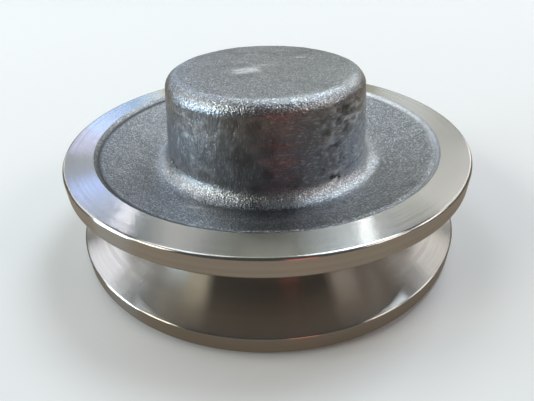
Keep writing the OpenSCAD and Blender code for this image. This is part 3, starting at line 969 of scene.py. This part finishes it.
softBoxes = {
    # azimuth (0 behind, 90 right), elevation, distance, width, height (metres), brightness, colour
    "panelLeft42": (-42, 24, 1.3, 0.16, 0.66, 1.82, (0.97, 1.00, 0.92)),
    "panelLeft28": (-28, 24, 1.3, 0.16, 0.66, 0.62, (0.88, 0.95, 1.00)),
    "panelLeft21": (-21, 24, 1.3, 0.16, 0.66, 0.48, (0.70, 0.88, 1.00)),
    "panelLeft14": (-14, 24, 1.3, 0.16, 0.66, 0.94, (1.00, 1.00, 0.91)),
    "panelMiddle": (0, 24, 1.3, 0.16, 0.66, 1.02, (1.00, 1.00, 0.94)),
    "panelRight14": (14, 24, 1.3, 0.16, 0.66, 0.53, (0.97, 1.00, 0.79)),
    "panelRight21": (21, 24, 1.3, 0.16, 0.66, 0.95, (0.94, 1.00, 1.00)),
    "panelRight28": (28, 24, 1.3, 0.16, 0.66, 0.49, (0.98, 1.00, 0.84)),
    "panelRight35": (35, 24, 1.3, 0.16, 0.66, 0.69, (0.91, 0.91, 1.00)),
    "panelRight42": (42, 24, 1.3, 0.16, 0.66, 2.52, (1.00, 0.99, 0.89)),
    "lowLeft100": (-100, 8, 1.3, 0.50, 0.42, 12.70, (0.65, 0.85, 1.00)),
    "cardLeft115": (-115, 34, 1.3, 0.42, 0.36, 6.8, (1.00, 0.97, 0.78)),
    "cardLeft85": (-85, 34, 1.3, 0.42, 0.36, 5.23, (0.96, 1.00, 1.00)),
    "cardLeft60": (-60, 34, 1.3, 0.42, 0.36, 1.55, (0.92, 0.94, 1.00)),
    "cardRight60": (60, 34, 1.3, 0.42, 0.36, 1.01, (1.00, 0.97, 0.92)),
    "cardRight85": (85, 34, 1.3, 0.42, 0.36, 3.30, (1.00, 0.98, 0.97)),
    "cardRight115": (115, 34, 1.3, 0.42, 0.36, 4.3, (1.00, 0.90, 0.82)),
    "lowRight165": (165, 7, 1.3, 0.34, 0.26, 2.0, (1.00, 0.18, 0.15)),
    "highLeft45": (-45, 62, 1.3, 0.50, 0.42, 3.1, (0.90, 0.96, 1.00)),
    "highBack0": (0, 62, 1.3, 0.50, 0.42, 1.06, (0.94, 1.00, 0.81)),
    "highRight45": (45, 62, 1.3, 0.50, 0.42, 8.42, (0.81, 0.92, 1.00)),
    "paneLeft": (-23.6, 33.4, 1.2, 0.024, 0.07, 11.0, (1.00, 0.96, 1.00)),
    "paneRight": (17.6, 37.0, 1.2, 0.026, 0.07, 11.0, (0.95, 0.98, 1.00)),
    "barCyan": (-21.7, 20.2, 1.25, 0.26, 0.030, 5.0, (0.08, 0.50, 1.00)),
    "barViolet": (-23.5, 21.5, 1.25, 0.26, 0.022, 3.0, (0.36, 0.40, 1.00)),
    "barWhite": (-26.0, 23.0, 1.25, 0.26, 0.026, 4.2, (0.66, 0.66, 1.00)),
    "barBlue": (-27.0, 30.0, 1.25, 0.26, 0.065, 1.9, (0.25, 0.42, 1.00)),
}


def makeSoftBoxes():
    for name, (azimuth, elevation, distance, width, height, brightness, colour) in softBoxes.items():
        a, e = math.radians(azimuth), math.radians(elevation)
        place = Vector((math.sin(a) * math.cos(e), math.cos(a) * math.cos(e), math.sin(e))) * distance
        data = bpy.data.lights.new(name, "AREA")
        data.shape = "RECTANGLE"
        data.size, data.size_y = width, height
        data.energy = brightness * math.pi * width * height
        data.color = colour
        lamp = addObject(name, data)
        lamp.location = place
        lamp.rotation_euler = (-place).to_track_quat("-Z", "Y").to_euler()


makeSoftBoxes()


cameraView = {
    "target": (0.0, 0.0, wheelSizes["frontZ"]),     # centre of the rim's front face
    "distance": 2.1547, "right": -0.0053, "up": -0.367,     # in radii of the rim
    "elevation": 0.5925, "roll": 0.024,                     # in radians
    "lens": 27.58854, "sensor": 36,
}


def placeCamera():
    v = cameraView
    e, rim = v["elevation"], wheelSizes["rimR"]
    back = Vector((0, -math.cos(e), math.sin(e)))
    right = Vector((1, 0, 0))
    up = Vector((0, math.sin(e), math.cos(e)))
    spot = Vector(v["target"]) + rim * (back * v["distance"] + right * v["right"] + up * v["up"])
    turn = Matrix((right, up, back)).transposed().to_4x4() @ Matrix.Rotation(-v["roll"], 4, "Z")
    data = bpy.data.cameras.new("camera")
    data.lens = v["lens"]
    data.sensor_width = v["sensor"]
    data.sensor_fit = "HORIZONTAL"
    data.clip_start = 0.005
    camera = addObject("camera", data)
    camera.matrix_world = Matrix.Translation(spot * mm) @ turn
    bpy.context.scene.camera = camera


placeCamera()
bpy.context.scene.view_settings.view_transform = "Standard"
print("stage set")
